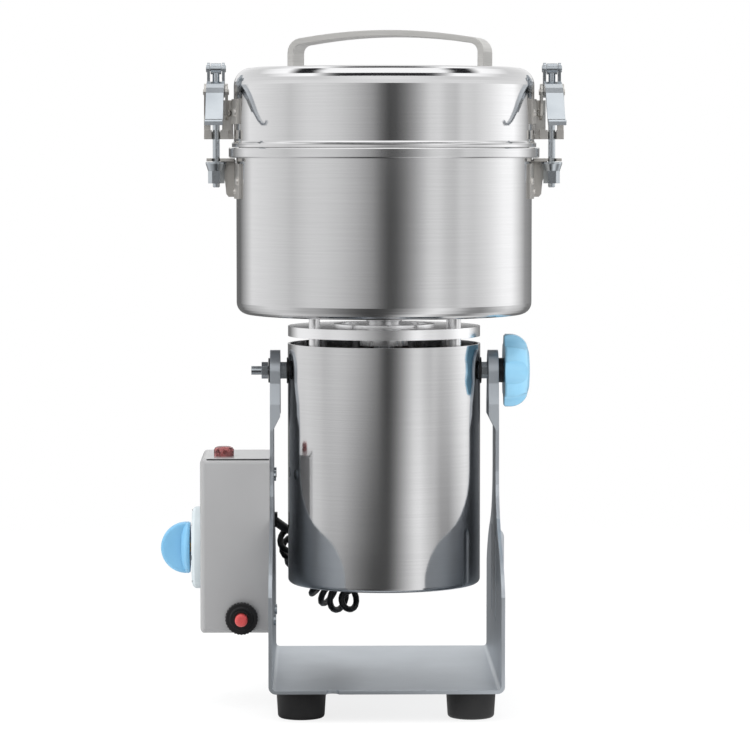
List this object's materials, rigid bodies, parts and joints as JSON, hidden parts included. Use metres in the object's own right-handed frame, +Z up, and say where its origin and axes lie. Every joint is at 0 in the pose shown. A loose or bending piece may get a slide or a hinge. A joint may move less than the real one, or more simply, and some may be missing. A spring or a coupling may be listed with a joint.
{
  "type": "tilting grain grinder",
  "caption": "Electric corn grinder: a lidded steel bowl on a motor housing that tilts in a bent stand, with draw latches, a timer box, a lock knob and a curly cord.",
  "frame": {"origin": "middle of the outline, on the surface that the feet rest on; the bowl's axis is 15 mm to +X of it", "axes": "+Z up, the front with latch levers and reset button faces -Y, the tilt knob is towards +X"},
  "size_m": [0.2789, 0.2138, 0.4621],
  "materials": {
    "polished_steel": "polished stainless sheet with a fine horizontal brush",
    "stand_sheet": "satin blue-grey sheet",
    "bright_plate": "bright zinc plate",
    "catch_plate": "dull pressed steel",
    "cast_aluminium": "machined aluminium",
    "turned_steel": "turned and ground steel",
    "blade_steel": "ground blade steel",
    "laminated_iron": "stacked iron sheets",
    "copper_winding": "enamelled copper",
    "brass_fittings": "plain brass",
    "carbon": "pressed carbon",
    "box_paint": "light grey satin paint",
    "pale_dial": "pale moulded plastic",
    "blue_plastic": "light blue moulded plastic",
    "red_lens": "clear red moulded plastic",
    "red_button": "red moulded plastic",
    "black_plastic": "black moulded plastic",
    "timer_case": "grey moulded case",
    "white_plastic": "white nylon",
    "black_rubber": "moulded rubber",
    "silicone": "pale silicone",
    "cord_sheath": "black sheath"
  },
  "bodies": {
    "stand": {"stand": "stand_sheet", "feet": "black_rubber", "foot_screws": "bright_plate", "control_box": "box_paint", "box_screws": "bright_plate", "dial_plate": "pale_dial", "timer_body": "timer_case", "lamp_body": "black_plastic", "lamp_lens": "red_lens", "breaker_body": "black_plastic", "breaker_ring": "black_plastic", "cord_gland": "black_plastic", "mains_gland": "black_plastic", "terminal_block": "white_plastic", "leg_bushes": "black_plastic", "curly_cord": "cord_sheath"},
    "head": {"housing": "polished_steel", "lower_bracket": "cast_aluminium", "bearings": "turned_steel", "stator": "laminated_iron", "field_coils": "copper_winding", "brush_holders": "brass_fittings", "brushes": "carbon", "top_disc": "cast_aluminium", "posts": "cast_aluminium", "hub": "cast_aluminium", "bowl": "polished_steel", "bowl_seal": "black_rubber", "pivot_studs": "bright_plate", "pivot_nuts": "bright_plate", "pivot_spacers": "black_plastic", "motor_gland": "black_plastic", "bowl_lug_left": "catch_plate", "bowl_lug_right": "catch_plate"},
    "rotor": {"shaft": "turned_steel", "fan": "black_plastic", "armature": "laminated_iron", "commutator": "copper_winding", "blade_lower": "blade_steel", "blade_upper": "blade_steel", "blade_spacers": "turned_steel", "blade_nut": "turned_steel"},
    "lid": {"lid": "polished_steel", "lid_liner": "polished_steel", "lid_gasket": "silicone", "handle": "polished_steel", "latch_base_left": "catch_plate", "latch_base_right": "catch_plate"},
    "lever_left": {"lever_left": "bright_plate"},
    "lever_right": {"lever_right": "bright_plate"},
    "rod_left": {"draw_rod_left": "bright_plate", "draw_nut_left": "bright_plate"},
    "rod_right": {"draw_rod_right": "bright_plate", "draw_nut_right": "bright_plate"},
    "lock_knob": {"lock_knob": "blue_plastic"},
    "timer_knob": {"timer_knob": "blue_plastic", "timer_shaft": "brass_fittings"},
    "reset_button": {"reset_button": "red_button"}
  },
  "joints": [
    {"name": "head_tilt", "type": "hinge", "parent": "stand", "child": "head", "pos_m": [0.015, 0, 0.2284], "axis": [1, 0, 0], "range_deg": [-90, 90], "deforming": ["curly_cord"]},
    {"name": "rotor_spin", "type": "hinge", "parent": "head", "child": "rotor", "pos_m": [0.015, 0, 0.158], "axis": [0, 0, 1], "continuous": true},
    {"name": "lid_lift", "type": "slide", "parent": "head", "child": "lid", "axis": [0, 0, 1], "range_m": [0, 0.2]},
    {"name": "lever_left_turn", "type": "hinge", "parent": "lid", "child": "lever_left", "pos_m": [-0.1005, 0, 0.42], "axis": [-1, 0, 0], "range_deg": [0, 90]},
    {"name": "lever_right_turn", "type": "hinge", "parent": "lid", "child": "lever_right", "pos_m": [0.1305, 0, 0.42], "axis": [-1, 0, 0], "range_deg": [0, 90]},
    {"name": "rod_left_turn", "type": "hinge", "parent": "lever_left", "child": "rod_left", "pos_m": [-0.1005, 0, 0.436], "axis": [-1, 0, 0], "range_deg": [-60, 0]},
    {"name": "rod_right_turn", "type": "hinge", "parent": "lever_right", "child": "rod_right", "pos_m": [0.1305, 0, 0.436], "axis": [-1, 0, 0], "range_deg": [-60, 0]},
    {"name": "lock_knob_turn", "type": "hinge", "parent": "head", "child": "lock_knob", "pos_m": [0.0978, 0, 0.2284], "axis": [1, 0, 0], "range_deg": [0, 360]},
    {"name": "timer_turn", "type": "hinge", "parent": "stand", "child": "timer_knob", "pos_m": [-0.1192, 0, 0.1056], "axis": [1, 0, 0], "range_deg": [0, 300], "stiffness_Nm_per_rad": 0.004},
    {"name": "reset_press", "type": "slide", "parent": "stand", "child": "reset_button", "axis": [0, 1, 0], "range_m": [0, 0.003], "stiffness_N_per_m": 300, "springref_m": -0.002}
  ],
  "couplings": [
    {"joint": "rod_left_turn", "follows": "lever_left_turn", "ratio": -0.65},
    {"joint": "rod_right_turn", "follows": "lever_right_turn", "ratio": -0.65}
  ]
}
